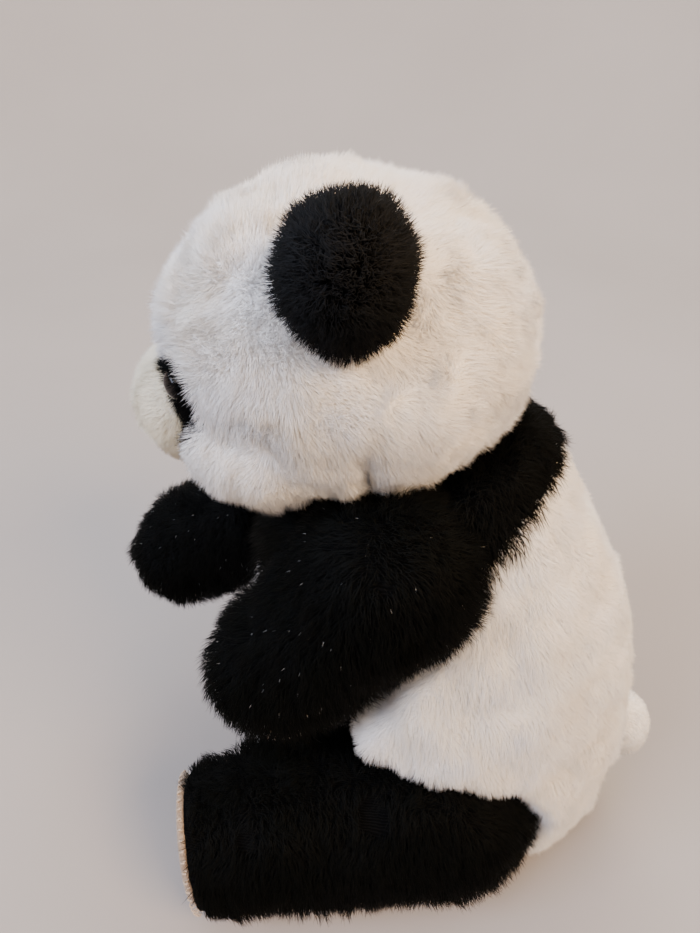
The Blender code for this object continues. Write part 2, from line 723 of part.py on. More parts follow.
def cut_root(made, limb, inset):
    """Cut a limb flat where it meets the torso, and leave its free end round."""
    low = Vector((-2 * FAR, -2 * FAR, -2 * FAR))
    high = Vector((limb.root_reach + inset, limb.root_depth() + GAP + inset, 2 * FAR))
    return minus(made, box("root_cutter", low, high, limb.frame()))


def root_opening(limb):
    """Opening in the limb's root, through which it is filled."""
    inward = facing(limb.pivot, limb.hinge)
    depth = limb.root_depth()
    radius = 0.5 * limb.root_radius
    return cylinder("opening", inward, radius, depth - 0.01, depth + GAP + PLUSH + 0.001)


def paw_pad(name, limb):
    """Felt pad sewn on the underside of a paw, following the paw's curve."""
    forward = limb.forward * math.sin(PAD_FORWARD)
    under = Vector((0.0, 0.0, -math.cos(PAD_FORWARD)))
    place = facing(limb.end, forward + under, limb.forward)
    outline = cylinder("outline", place, PAD_RADIUS, THROUGH / 5, 2 * THROUGH, 20)
    outer = mesh_object(name, limb_capsule(limb, -FELT - GAP))
    pad = within(minus(outer, mesh_object("inside", limb_capsule(limb, -GAP))), outline)
    return cut_root(pad, limb, 0.0)


def make_arms():
    for side, suffix in ((1, "left"), (-1, "right")):
        limb = arm(side)
        cover = cut_root(mesh_object("arm_cover_" + suffix, limb_capsule(limb, 0.0)), limb, 0.0)
        hollow = cut_root(mesh_object("hollow", limb_capsule(limb, PLUSH)), limb, PLUSH)
        minus(cover, hollow, root_opening(limb))
        finish(cover, BLACK, PLUSH_ROUGHNESS, limb.pivot)
        core = mesh_object("arm_stuffing_" + suffix, limb_capsule(limb, PLUSH + GAP))
        finish(cut_root(core, limb, PLUSH + GAP), FIBRE, FIBRE_ROUGHNESS, limb.pivot)
        finish(paw_pad("paw_pad_" + suffix, limb), BEIGE, FELT_ROUGHNESS, limb.pivot)


# ---------------------------------------------------------------- legs
def leg_form(name, limb, inset, overshoot):
    """Leg with its open end cut square, its underside flat and its root flat."""
    bm = limb_capsule(limb, inset)
    slice_off(bm, limb.end + limb.axis * overshoot, limb.axis)
    slice_off(bm, Vector((0.0, 0.0, inset)), Vector((0.0, 0.0, -1.0)))
    return cut_root(mesh_object(name, bm), limb, inset)


def make_legs():
    for side, suffix in ((1, "left"), (-1, "right")):
        limb = leg(side)
        cover = leg_form("leg_cover_" + suffix, limb, 0.0, 0.0)
        minus(cover, leg_form("hollow", limb, PLUSH, 0.002), root_opening(limb))
        finish(cover, BLACK, PLUSH_ROUGHNESS, limb.pivot)
        finish(leg_form("leg_stuffing_" + suffix, limb, PLUSH + GAP, 0.0), FIBRE, FIBRE_ROUGHNESS, limb.pivot)
        bm = loft_bm(sole_rings(limb), 20)
        slice_off(bm, Vector((0.0, 0.0, 0.0)), Vector((0.0, 0.0, -1.0)))
        pad = cut_root(mesh_object("sole_pad_" + suffix, bm), limb, 0.0)
        finish(pad, BEIGE, FELT_ROUGHNESS, limb.pivot)


def sole_rings(limb):
    """Slightly domed pad that closes the end of the leg."""
    side = limb.axis.cross(Vector((0.0, 0.0, 1.0))).normalized()
    up = side.cross(limb.axis)
    profile = ((0.0, 1.0), (0.5, 1.0), (0.85, 0.93), (1.0, 0.75))
    rings = []
    for height, scale in profile:
        centre = limb.end + limb.axis * (GAP + SOLE_THICKNESS * height)
        radius = (limb.end_radius - 0.001) * scale
        rings.append((centre, side, up, radius, radius))
    return rings


# ---------------------------------------------------------------- build
clear_scene()
make_torso()
make_tail()
make_head()
make_muzzle()
make_ears()
make_arms()
make_legs()
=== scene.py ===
"""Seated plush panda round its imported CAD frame: fabric skins, pile, felt pads, stitching, plastic eyes."""
import json
import math
from collections import namedtuple

import bpy
import numpy as np
from mathutils import Matrix, Vector
from mathutils.bvhtree import BVHTree
from mathutils.kdtree import KDTree

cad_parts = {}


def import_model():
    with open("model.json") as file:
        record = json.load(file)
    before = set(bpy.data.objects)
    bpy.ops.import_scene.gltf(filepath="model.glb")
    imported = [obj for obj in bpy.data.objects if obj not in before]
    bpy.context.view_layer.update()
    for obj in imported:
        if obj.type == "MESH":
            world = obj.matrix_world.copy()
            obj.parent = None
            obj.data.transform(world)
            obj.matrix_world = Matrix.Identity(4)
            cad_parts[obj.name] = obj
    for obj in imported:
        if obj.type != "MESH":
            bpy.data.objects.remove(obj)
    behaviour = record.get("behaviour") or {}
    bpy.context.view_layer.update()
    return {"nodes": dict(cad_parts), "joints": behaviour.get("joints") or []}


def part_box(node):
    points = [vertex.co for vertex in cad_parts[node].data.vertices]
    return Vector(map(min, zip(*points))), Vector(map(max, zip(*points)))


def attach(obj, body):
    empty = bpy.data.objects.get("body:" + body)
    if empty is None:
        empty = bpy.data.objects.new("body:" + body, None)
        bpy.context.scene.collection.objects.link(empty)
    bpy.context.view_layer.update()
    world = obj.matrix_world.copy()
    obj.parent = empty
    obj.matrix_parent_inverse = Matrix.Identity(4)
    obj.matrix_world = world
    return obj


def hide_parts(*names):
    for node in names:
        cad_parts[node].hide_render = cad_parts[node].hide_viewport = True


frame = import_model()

DOWN = np.array((0.0, 0.0, -1.0))
UP = Vector((0.0, 0.0, 1.0))
SIDES = ("left", "right")
FLOOR_CLEARANCE = 0.0004     # lowest that any fabric or fibre may reach
PILE_SHARE = 1.0


# ---------------------------------------------------------------- mesh helpers
def unit(v):
    return v / np.maximum(np.linalg.norm(v, axis=-1, keepdims=True), 1e-12)


def waves(points, scale, seed, terms=9):
    """Smooth noise of about -1 to 1 that varies over the given distance in metres."""
    rng = np.random.default_rng(seed)
    turns = unit(rng.normal(size=(terms, 3))) * (math.tau / scale) * rng.uniform(0.6, 1.5, (terms, 1))
    phase = rng.uniform(0, math.tau, terms)
    return np.sin(points @ turns.T + phase).sum(1) / math.sqrt(terms)


def wave_vectors(points, scale, seeds):
    """Three fields of smooth noise as one vector for each point."""
    return np.stack([waves(points, scale, seed) for seed in seeds], axis=1)


def arrays(mesh):
    """Vertex positions and triangles of a mesh."""
    mesh.calc_loop_triangles()
    points = np.zeros(len(mesh.vertices) * 3, np.float32)
    mesh.vertices.foreach_get("co", points)
    triangles = np.zeros(len(mesh.loop_triangles) * 3, np.int32)
    mesh.loop_triangles.foreach_get("vertices", triangles)
    return points.reshape(-1, 3).astype(float), triangles.reshape(-1, 3)


def across_normal(vectors, normals):
    """The part of each vector that lies in the surface."""
    return vectors - normals * (vectors * normals).sum(1, keepdims=True)


def vertex_normals(points, triangles):
    a, b, c = (points[triangles[:, k]] for k in range(3))
    face = np.cross(b - a, c - a)
    total = np.zeros_like(points)
    for k in range(3):
        for axis in range(3):
            total[:, axis] += np.bincount(triangles[:, k], face[:, axis], len(points))
    return unit(total)


def link(name, data):
    made = bpy.data.objects.new(name, data)
    bpy.context.scene.collection.objects.link(made)
    return made


def mesh_from(name, points, polygons, material):
    """Smooth object from an array of points and an array of polygons with one number of corners."""
    mesh = bpy.data.meshes.new(name)
    corners = polygons.shape[1]
    mesh.vertices.add(len(points))
    mesh.vertices.foreach_set("co", points.astype(np.float32).ravel())
    mesh.loops.add(polygons.size)
    mesh.loops.foreach_set("vertex_index", polygons.astype(np.int32).ravel())
    mesh.polygons.add(len(polygons))
    mesh.polygons.foreach_set("loop_start", np.arange(0, polygons.size, corners, dtype=np.int32))
    mesh.update(calc_edges=True)
    mesh.shade_smooth()
    mesh.materials.append(material)
    return link(name, mesh)


# ---------------------------------------------------------------- skins
WELD = 0.00002           # CAD corners closer than this are one
INWARD = 0.55            # a smoothing step towards the neighbours, and the step back that keeps the volume
OUTWARD = -0.56
LUMP_WIDTH = 0.035


def joined(nodes):
    """Points and triangles of several CAD nodes as one set."""
    source = []
    faces = []
    offset = 0
    for node in nodes:
        points, triangles = arrays(frame["nodes"][node].data)
        source.append(points)
        faces.append(triangles + offset)
        offset += len(points)
    return np.concatenate(source), np.concatenate(faces)


def evenly_meshed(points, triangles, voxel, material):
    """Points, edges and quads of an even mesh round the given solids."""
    rough = mesh_from("rough", points, triangles, material)
    weld = rough.modifiers.new("weld", "WELD")
    weld.merge_threshold = WELD
    remesh = rough.modifiers.new("remesh", "REMESH")
    remesh.mode = "VOXEL"
    remesh.voxel_size = voxel
    remesh.adaptivity = 0.0
    dense = bpy.data.meshes.new_from_object(rough.evaluated_get(bpy.context.evaluated_depsgraph_get()))
    bpy.data.objects.remove(rough, do_unlink=True)
    edges = np.zeros(len(dense.edges) * 2, np.int32)
    dense.edges.foreach_get("vertices", edges)
    quads = np.array([tuple(face.vertices) for face in dense.polygons if len(face.vertices) == 4], np.int32)
    even = arrays(dense)[0]
    bpy.data.meshes.remove(dense)
    return even, edges.reshape(-1, 2), quads


def part_labels(count, edges):
    """One number for each vertex, the same all over a connected part."""
    label = np.arange(count)
    while True:
        lowest = np.minimum(label[edges[:, 0]], label[edges[:, 1]])
        new = label.copy()
        np.minimum.at(new, edges[:, 0], lowest)
        np.minimum.at(new, edges[:, 1], lowest)
        new = new[new]
        if (new == label).all():
            return label
        label = new


def outermost(points, edges, quads):
    """Only the connected part with the widest box, without the hollows inside it."""
    label = part_labels(len(points), edges)
    widest = max(np.unique(label), key=lambda root: np.ptp(points[label == root], axis=0).sum())
    keep = label == widest
    index = np.full(len(points), -1)
    index[keep] = np.arange(keep.sum())
    return points[keep], index[edges[keep[edges[:, 0]]]], index[quads[keep[quads[:, 0]]]]


def relaxed(points, edges, rounds):
    """Positions after rounds of smoothing that keep the volume."""
    count = np.bincount(edges.ravel(), minlength=len(points))[:, None]
    for step in range(rounds * 2):
        total = np.zeros_like(points)
        for axis in range(3):
            total[:, axis] += np.bincount(edges[:, 0], points[edges[:, 1], axis], len(points))
            total[:, axis] += np.bincount(edges[:, 1], points[edges[:, 0], axis], len(points))
        points = points + (INWARD if step % 2 == 0 else OUTWARD) * (total / np.maximum(count, 1) - points)
    return points


class Skin:
    """Closed surface round CAD nodes, as arrays and as an object that replaces those nodes.

    The outline of the nodes together is smoothed for some rounds, and swells by a fixed amount and by slow
    lumps. A shaping function gives further movement along the normals. The fill argument is not used.
    """

    def __init__(self, name, body, nodes, material, voxel, swell, rounds, lumps=0.0, seed=0, fill=None,
                 shaping=None):
        points, triangles = joined(nodes)
        points, edges, quads = outermost(*evenly_meshed(points, triangles, voxel, material))
        points = relaxed(points, edges, rounds)
        triangles = np.concatenate((quads[:, (0, 1, 2)], quads[:, (0, 2, 3)]))
        normals = vertex_normals(points, triangles)
        points = points + normals * (swell + lumps * waves(points, LUMP_WIDTH, seed)[:, None])
        if shaping:
            points = points + normals * shaping(points)[:, None]
        points[:, 2] = np.maximum(points[:, 2], FLOOR_CLEARANCE)
        self.body = body
        self.points = points
        self.triangles = triangles
        self.normals = vertex_normals(points, triangles)
        self.tree = None
        self.object = mesh_from(name, points, quads, material)
        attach(self.object, body)
        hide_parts(*nodes)

    def middle(self):
        return self.points.mean(0)

    def triangle_areas(self):
        a, b, c = (self.points[self.triangles[:, k]] for k in range(3))
        return np.linalg.norm(np.cross(b - a, c - a), axis=1) / 2

    def distance(self, points):
        """Signed distance of each point from the skin, negative inside."""
        if self.tree is None:
            self.tree = BVHTree.FromPolygons(self.points.tolist(), self.triangles.tolist())
        result = np.empty(len(points))
        for index, point in enumerate(points):
            place, normal, _, far = self.tree.find_nearest(Vector(point))
            result[index] = -far if (Vector(point) - place).dot(normal) < 0 else far
        return result


# ---------------------------------------------------------------- materials
WHITE = (1.0, 1.0, 1.0)


def new_material(name, roughness, specular=0.3, sheen=0.0):
    made = bpy.data.materials.new(name)
    made.use_nodes = True
    shader = made.node_tree.nodes["Principled BSDF"]
    shader.inputs["Roughness"].default_value = roughness
    shader.inputs["Specular IOR Level"].default_value = specular
    shader.inputs["Sheen Weight"].default_value = sheen
    shader.inputs["Sheen Roughness"].default_value = 0.5
    return made, made.node_tree, shader


def add(tree, kind, **inputs):
    """Shader node with its inputs set or linked, each by its name or as i and its number."""
    node = tree.nodes.new(kind)
    for key, value in inputs.items():
        numbered = key[0] == "i" and key[1:].isdigit()
        socket = node.inputs[int(key[1:]) if numbered else key]
        if isinstance(value, bpy.types.NodeSocket):
            tree.links.new(value, socket)
        else:
            socket.default_value = value
    return node


def object_place(tree):
    return add(tree, "ShaderNodeTexCoord").outputs["Object"]


def noise(tree, scale, detail=3.0, stretch=(1.0, 1.0, 1.0)):
    """Noise in object space, whose pattern is about 1 / scale metres wide."""
    mapping = add(tree, "ShaderNodeMapping", Vector=object_place(tree), Scale=stretch)
    texture = add(tree, "ShaderNodeTexNoise", Vector=mapping.outputs[0], Scale=scale, Detail=detail)
    return texture.outputs["Fac"]


def ramp(tree, factor, *stops):
    node = add(tree, "ShaderNodeValToRGB", Fac=factor)
    elements = node.color_ramp.elements
    while len(elements) < len(stops):
        elements.new(0.5)
    for element, (position, colour) in zip(elements, stops):
        element.position = position
        element.color = (*colour, 1.0)
    return node.outputs["Color"]


def multiply(tree, first, second):
    node = add(tree, "ShaderNodeMix")
    node.data_type = "RGBA"
    node.blend_type = "MULTIPLY"
    node.inputs[0].default_value = 1.0
    tree.links.new(first, node.inputs[6])
    tree.links.new(second, node.inputs[7])
    return node.outputs[2]


def emboss(tree, shader, height, strength, depth):
    relief = add(tree, "ShaderNodeBump", Height=height, Strength=strength, Distance=depth)
    tree.links.new(relief.outputs[0], shader.inputs["Normal"])


def pile_material(name, root, tip, patch, roughness, specular, sheen):
    """Fibres with painted shade towards the root, where the pile shades itself; they differ a little from
    each other and drift in tone over the toy.
    """
    made, tree, shader = new_material(name, roughness, specular, sheen)
    rise = tree.nodes.new("ShaderNodeAttribute")
    rise.attribute_name = "along"
    # painted shade: each fibre runs from the darker root colour up to its own tip colour, standing in for the
    # shade deep in the pile
    body = ramp(tree, rise.outputs["Fac"], (0.0, root), (0.45, tip), (1.0, tip))
    drift = ramp(tree, noise(tree, 38.0), (0.36, patch), (0.64, WHITE))
    island = tree.nodes.new("ShaderNodeNewGeometry").outputs["Random Per Island"]
    single = ramp(tree, island, (0.0, (0.93, 0.93, 0.93)), (1.0, WHITE))
    tree.links.new(multiply(tree, multiply(tree, body, drift), single), shader.inputs["Base Color"])
    return made


def knit_material(name, dark, light, relief, specular=0.2, sheen=0.1):
    """Backing fabric under the pile: fine rows of knitting."""
    made, tree, shader = new_material(name, 0.9, specular, sheen)
    rows = add(tree, "ShaderNodeTexWave", Vector=object_place(tree), Scale=420.0, Distortion=3.0, Detail=2.0)
    tone = ramp(tree, rows.outputs["Fac"], (0.1, dark), (0.8, light))
    drift = ramp(tree, noise(tree, 60.0), (0.3, (0.85, 0.84, 0.82)), (0.7, WHITE))
    tree.links.new(multiply(tree, tone, drift), shader.inputs["Base Color"])
    emboss(tree, shader, rows.outputs["Fac"], relief, 0.0004)
    return made


def felt_material(name, dark, light, worn):
    """Short-napped felt: matted fibres, cloudy tone, slightly paler where it is rubbed."""
    made, tree, shader = new_material(name, 0.92, 0.15, 0.35)
    fibres = noise(tree, 1400.0, 4.0, (1.0, 1.0, 0.35))
    tone = ramp(tree, fibres, (0.32, dark), (0.68, light))
    cloud = ramp(tree, noise(tree, 90.0), (0.35, (0.86, 0.84, 0.80)), (0.65, worn))
    tree.links.new(multiply(tree, tone, cloud), shader.inputs["Base Color"])
    emboss(tree, shader, fibres, 0.7, 0.0003)
    return made


def plastic_material(name, colour, roughness, scratch, specular):
    """Moulded plastic with faint handling marks in its gloss."""
    made, tree, shader = new_material(name, roughness, specular)
    tone = ramp(tree, noise(tree, 300.0), (0.3, [0.8 * c for c in colour]), (0.7, colour))
    tree.links.new(tone, shader.inputs["Base Color"])
    marks = noise(tree, 900.0, 5.0, (1.0, 0.2, 1.0))
    gloss = add(tree, "ShaderNodeMapRange", Value=marks, i1=0.35, i2=0.75, i3=roughness,
                i4=roughness + scratch)
    tree.links.new(gloss.outputs[0], shader.inputs["Roughness"])
    return made


def thread_material(name, dark, light):
    """Twisted embroidery thread."""
    made, tree, shader = new_material(name, 0.55, 0.35, 0.2)
    twist = add(tree, "ShaderNodeTexWave", Vector=object_place(tree), Scale=900.0, Distortion=1.5)
    twist.bands_direction = "DIAGONAL"
    tone = ramp(tree, twist.outputs["Fac"], (0.2, dark), (0.8, light))
    tree.links.new(tone, shader.inputs["Base Color"])
    emboss(tree, shader, twist.outputs["Fac"], 0.6, 0.0002)
    return made


# the first colour of each pile is painted shade at its root, the second is the fibre's own colour at the tip
WHITE_PILE = pile_material("white_pile", (0.93, 0.90, 0.85), (0.975, 0.95, 0.915), (0.99, 0.955, 0.88),
                           roughness=0.8, specular=0.15, sheen=0.2)
CREAM_PILE = pile_material("cream_pile", (0.72, 0.62, 0.45), (0.88, 0.80, 0.62), (0.96, 0.91, 0.80),
                           roughness=0.8, specular=0.15, sheen=0.1)
# the greenish patch tint of the black and ear piles is painted sheen: it stands in for the greenish sheen
# along the edges of the black fur, spread as random patches
BLACK_PILE = pile_material("black_pile", (0.0006, 0.0006, 0.0006), (0.0016, 0.0018, 0.0014),
                           (0.80, 0.84, 0.60), roughness=0.6, specular=0.05, sheen=0.0)
EAR_PILE = pile_material("ear_pile_black", (0.0012, 0.0012, 0.0013), (0.0042, 0.0045, 0.0048),
                         (0.80, 0.84, 0.70), roughness=0.6, specular=0.12, sheen=0.0)
LINT_PILE = pile_material("lint_pile", (0.50, 0.49, 0.47), (0.62, 0.61, 0.58), (0.80, 0.80, 0.80),
                          roughness=0.8, specular=0.2, sheen=0.1)
WHITE_KNIT = knit_material("white_knit", (0.82, 0.79, 0.74), (0.93, 0.90, 0.86), 0.5)
CREAM_KNIT = knit_material("cream_knit", (0.58, 0.51, 0.42), (0.80, 0.73, 0.62), 0.5)
BLACK_KNIT = knit_material("black_knit", (0.001, 0.001, 0.001), (0.003, 0.003, 0.003), 0.5,
                           specular=0.03, sheen=0.0)
BAG_CLOTH = knit_material("bag_cloth", (0.50, 0.50, 0.47), (0.74, 0.74, 0.70), 0.8)
BEIGE_FELT = felt_material("pad_felt", (0.20, 0.14, 0.09), (0.36, 0.27, 0.19), (1.0, 0.98, 0.95))
EYE_PLASTIC = plastic_material("eye_plastic", (0.006, 0.004, 0.003), 0.06, 0.08, specular=0.3)
NOSE_PLASTIC = plastic_material("nose_plastic", (0.006, 0.006, 0.006), 0.30, 0.15, specular=0.3)
WASHER_PLASTIC = plastic_material("washer_plastic", (0.75, 0.75, 0.72), 0.4, 0.2, specular=0.5)
BLACK_THREAD = thread_material("black_thread", (0.006, 0.006, 0.006), (0.03, 0.03, 0.03))
BEIGE_THREAD = thread_material("beige_thread", (0.30, 0.22, 0.15), (0.52, 0.41, 0.30))


# ---------------------------------------------------------------- pile
# length and radius of a fibre, how far it leans along the lay and droops under its weight, how far tips
# draw together and over what distance, how much shorter the shortest are, and whether it has a bend
Pile = namedtuple("Pile", "material length radius lean droop clump clump_size ragged bent")
LONG_BLACK = Pile(BLACK_PILE, length=0.0090, radius=0.00017, lean=0.75, droop=0.25,
                  clump=0.50, clump_size=0.0042, ragged=0.45, bent=True)
EAR_BLACK = Pile(EAR_PILE, length=0.0071, radius=0.00015, lean=0.45, droop=0.10,
                 clump=0.55, clump_size=0.0032, ragged=0.60, bent=True)
SHORT_BLACK = Pile(BLACK_PILE, length=0.0040, radius=0.00015, lean=0.60, droop=0.05,
                   clump=0.25, clump_size=0.0030, ragged=0.25, bent=False)
PATCH_BLACK = Pile(BLACK_PILE, length=0.0062, radius=0.00015, lean=0.50, droop=0.05,
                   clump=0.45, clump_size=0.0028, ragged=0.50, bent=False)
LONG_WHITE = Pile(WHITE_PILE, length=0.0066, radius=0.00016, lean=0.78, droop=0.08,
                  clump=0.26, clump_size=0.0040, ragged=0.30, bent=False)
SHORT_CREAM = Pile(CREAM_PILE, length=0.0042, radius=0.00015, lean=0.65, droop=0.05,
                   clump=0.22, clump_size=0.0030, ragged=0.25, bent=False)
LINT = Pile(LINT_PILE, length=0.0012, radius=0.00006, lean=0.90, droop=0.00,
            clump=0.0, clump_size=0.0040, ragged=0.60, bent=False)

# triangles of one fibre, how far up it each of its corners is, and where they lie in its cell of the UV map
Fibre = namedtuple("Fibre", "triangles rise chart most_in_a_piece")
STRAIGHT_FIBRE = Fibre(
    triangles=((0, 1, 3), (1, 2, 3), (2, 0, 3)),
    rise=(0, 0, 0, 1),
    chart=((0.2, 0.1), (0.5, 0.1), (0.8, 0.1), (0.5, 0.9)),
    most_in_a_piece=60000)
BENT_FIBRE = Fibre(
    triangles=((0, 1, 4), (0, 4, 3), (1, 2, 5), (1, 5, 4), (2, 0, 3), (2, 3, 5),
               (3, 4, 6), (4, 5, 6), (5, 3, 6)),
    rise=(0, 0, 0, 0.5, 0.5, 0.5, 1),
    chart=((0.2, 0.1), (0.5, 0.1), (0.8, 0.1), (0.2, 0.5), (0.5, 0.5), (0.8, 0.5), (0.5, 0.9)),
    most_in_a_piece=22000)
ROOT_DEPTH = 0.0006      # how far below the skin a fibre starts
LAY_WANDER = 0.45        # how much the lay wanders from its direction


def everywhere(points, normals):
    return np.ones(len(points), bool)


def hashed(cells, seed):
    """Three repeatable random numbers from 0 to 1 for each whole-numbered cell."""
    mixed = cells.astype(np.int64) @ np.array((73856093, 19349663, 83492791)) + seed * 15485863
    mixed = (mixed ^ (mixed >> 13)) * 1274126177
    parts = [((mixed >> shift) & 1023) / 1023.0 for shift in (5, 17, 29)]
    return np.stack(parts, axis=1)


def scatter(skin, count, rng, keep):
    """Random places on a skin, with their normals, where keep(points, normals) allows."""
    area = skin.triangle_areas()
    index = rng.choice(len(area), count, p=area / area.sum())
    u, v = rng.random((2, count, 1))
    u, v = np.where(u + v > 1, 1 - u, u), np.where(u + v > 1, 1 - v, v)
    chosen = skin.triangles[index]
    a, b, c = (skin.points[chosen[:, k]] for k in range(3))
    na, nb, nc = (skin.normals[chosen[:, k]] for k in range(3))
    points = a + u * (b - a) + v * (c - a)
    normals = unit(na + u * (nb - na) + v * (nc - na))
    wanted = keep(points, normals)
    return points[wanted], normals[wanted]


def combed(points, normals, kind, length, flow, seed, rng):
    """Bend and tip of each fibre, which leans along a lay that wanders, with some disorder."""
    flow = flow + LAY_WANDER * wave_vectors(points, 0.02, (seed + 2, seed + 3, seed + 4))
    flow = unit(across_normal(flow, normals))
    across = np.cross(normals, flow)
    stray = rng.normal(size=(len(points), 2))
    lower = unit(normals + flow * (0.55 * kind.lean) + 0.22 * (stray[:, :1] * flow + stray[:, 1:] * across))
    upper = unit(normals * (1.0 - 0.35 * kind.lean) + flow * kind.lean + kind.droop * DOWN
                 + 0.25 * (stray[:, 1:] * flow - stray[:, :1] * across))
    share = 0.5 if kind.bent else 0.35
    bend = points + lower * (length * share)[:, None]
    tip = bend + upper * (length * (1.0 - share))[:, None]
    return bend, tip


def clump_pull(points, normals, kind, seed):
    """Movement that draws neighbouring tips together into locks."""
    warped = points + 0.4 * kind.clump_size * wave_vectors(points, 0.011, (seed + 5, seed + 6, seed + 7))
    cells = np.floor(warped / kind.clump_size)
    centres = (cells + 0.25 + 0.5 * hashed(cells, seed)) * kind.clump_size
    strength = kind.clump * (0.6 + 0.8 * hashed(cells, seed + 9)[:, :1])
    return across_normal(centres - points, normals) * strength


def grow(name, skin, kind, per_cm2, lay, seed, keep=everywhere, longer=None, lift=0.0):
    """Cover a skin with fibres as real geometry, split into pieces of a handy size."""
    rng = np.random.default_rng(seed)
    count = int(skin.triangle_areas().sum() * 10000 * per_cm2 * PILE_SHARE)
    points, normals = scatter(skin, count, rng, keep)
    points = points + normals * lift
    length = kind.length * (longer(points) if longer else 1.0)
    length = length * (1.0 - kind.ragged * rng.random(len(points)) ** 2)
    length = length * (1.0 + 0.18 * waves(points, 0.012, seed + 1))
    bend, tip = combed(points, normals, kind, length, lay(points, normals), seed, rng)
    pull = clump_pull(points, normals, kind, seed)
    tip = tip + pull
    bend = bend + 0.35 * pull

    step = (BENT_FIBRE if kind.bent else STRAIGHT_FIBRE).most_in_a_piece
    for start in range(0, len(points), step):
        part = slice(start, start + step)
        piece = strands(f"{name}_{start // step + 1}", points[part], bend[part], tip[part], normals[part],
                        kind, rng)
        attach(piece, skin.body)


def strands(name, root, bend, tip, normals, kind, rng):
    """Three-sided tapering fibres; the bent kind has a middle ring."""
    fibre = BENT_FIBRE if kind.bent else STRAIGHT_FIBRE
    count = len(root)
    spin = rng.uniform(0, math.tau, count)
    radius = kind.radius * rng.uniform(0.75, 1.2, count)
    rings = [(root - normals * ROOT_DEPTH, bend - root, 1.0)]
    if kind.bent:
        rings.append((bend, tip - root, 0.8))
    points = []
    radial = []
    for centre, direction, scale in rings:
        direction = unit(direction)
        side = unit(np.cross(direction, np.array((0.31, 0.52, 0.79))))
        other = np.cross(direction, side)
        for corner in range(3):
            angle = spin + corner * math.tau / 3
            out = side * np.cos(angle)[:, None] + other * np.sin(angle)[:, None]
            points.append(centre + out * (radius * scale)[:, None])
            radial.append(out)
    points.append(tip)
    radial.append(unit(tip - root))
    shape = np.stack(points, axis=1)
    shape[..., 2] = np.maximum(shape[..., 2], FLOOR_CLEARANCE)
    triangles = (np.arange(count)[:, None, None] * len(points) + np.array(fibre.triangles)).reshape(-1, 3)
    made = mesh_from(name, shape.reshape(-1, 3), triangles, kind.material)
    # how far up the fibre each corner lies, which the pile materials use for their painted shade at the root
    rise = made.data.attributes.new("along", "FLOAT", "POINT")
    rise.data.foreach_set("value", np.tile(np.array(fibre.rise, np.float32), count))
    chart_strands(made.data, triangles, count, fibre)
    shading = unit(0.75 * normals[:, None, :] + 0.65 * np.stack(radial, axis=1))
    made.data.normals_split_custom_set_from_vertices(shading.reshape(-1, 3).tolist())
    return made


def chart_strands(mesh, triangles, count, fibre):
    """UV map with a square cell for each fibre."""
    across = math.ceil(math.sqrt(count))
    cell = np.stack((np.arange(count) % across, np.arange(count) // across), axis=1)
    chart = (cell[:, None, :] + np.array(fibre.chart)) / across
    layer = mesh.uv_layers.new(name="OFBake")
    layer.data.foreach_set("uv", chart.reshape(-1, 2)[triangles.ravel()].astype(np.float32).ravel())


# ---------------------------------------------------------------- where things are
def middle_of(node):
    low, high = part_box(node)
    return np.array((low + high) / 2)


JOINTS = {joint["name"]: joint for joint in frame["joints"]}
NECK = np.array(JOINTS["head_nod"]["pos_m"])
HEAD = middle_of("head_cover")
MUZZLE = middle_of("muzzle_cover")
NOSE = middle_of("nose")
NECK_UP = unit(HEAD - NECK)
SEAM_Z = 0.190           # lower edge of the black yoke on the middle of the back, and its fall to the sides
SEAM_CURVE = 178.0
CHEST_Z = 0.135          # lower edge of the yoke across the chest, in front of its side seam
CHEST_Y = 0.0251
CREASE_Y = 0.0155        # how far behind the middle of the head its sewn-in crease runs
CREASE_DEPTH = 0.0068
CREASE_WIDTH = 0.0040
DRAWN_UP = 0.0040        # how far the lower back edge of an arm is drawn in
LOWER_BACK = np.array((0.0, 0.70, -0.71))
ARM_ROUND = 0.0265       # radius of the rounded end of an arm
SOLE_TUFT_Z = 0.031      # above this the pile falls forward over the edge of the sole


def crease(points):
    """Sewn-in crease that separates each cheek from the back of the head."""
    off = points[:, 1] - (HEAD[1] + CREASE_Y)
    low = np.clip((HEAD[2] - 0.004 - points[:, 2]) / 0.03, 0.0, 1.0)
    return -CREASE_DEPTH * low * np.exp(-(off / CREASE_WIDTH) ** 2)


def at_lower_back(points, middle):
    """From 0 to 1 towards the lower back edge of an arm."""
    return np.clip((points - middle) @ LOWER_BACK / 0.022, 0.0, 1.0)


def arm_underside(points):
    """The stuffing is drawn up a little along the lower back edge of an arm."""
    return -DRAWN_UP * at_lower_back(points, points.mean(0))


# ---------------------------------------------------------------- skins on the frame
torso = Skin("body_skin", "torso", ["body_cover", "body_stuffing"], WHITE_KNIT, voxel=0.0022,
             swell=0.0008, rounds=80, lumps=0.0010, seed=11, fill=0.75)
yoke = Skin("yoke_skin", "torso", ["shoulder_yoke"], BLACK_KNIT, voxel=0.0012,
            swell=0.0010, rounds=12, lumps=0.0003, seed=12, fill=0.7)
head = Skin("head_skin", "head", ["head_cover", "head_stuffing"], WHITE_KNIT, voxel=0.0022,
            swell=0.0010, rounds=50, lumps=0.0010, seed=13, fill=0.85, shaping=crease)
muzzle = Skin("muzzle_skin", "head", ["muzzle_cover", "muzzle_stuffing"], CREAM_KNIT, voxel=0.0015,
              swell=0.0005, rounds=30, lumps=0.0004, seed=14, fill=0.85)
neck = Skin("neck_skin", "neck", ["neck_stuffing"], BLACK_KNIT, voxel=0.0020,
            swell=0.0, rounds=20, fill=0.7)
tail = Skin("tail_skin", "tail", ["tail_cover", "tail_stuffing"], WHITE_KNIT, voxel=0.0014,
            swell=0.0005, rounds=20, lumps=0.0003, seed=16, fill=0.7)
Skin("nose_smooth", "head", ["nose"], NOSE_PLASTIC, voxel=0.0006, swell=0.0, rounds=16)
ears = {}
arms = {}
legs = {}
patches = {}
soles = {}
paws = {}
eyes = {}
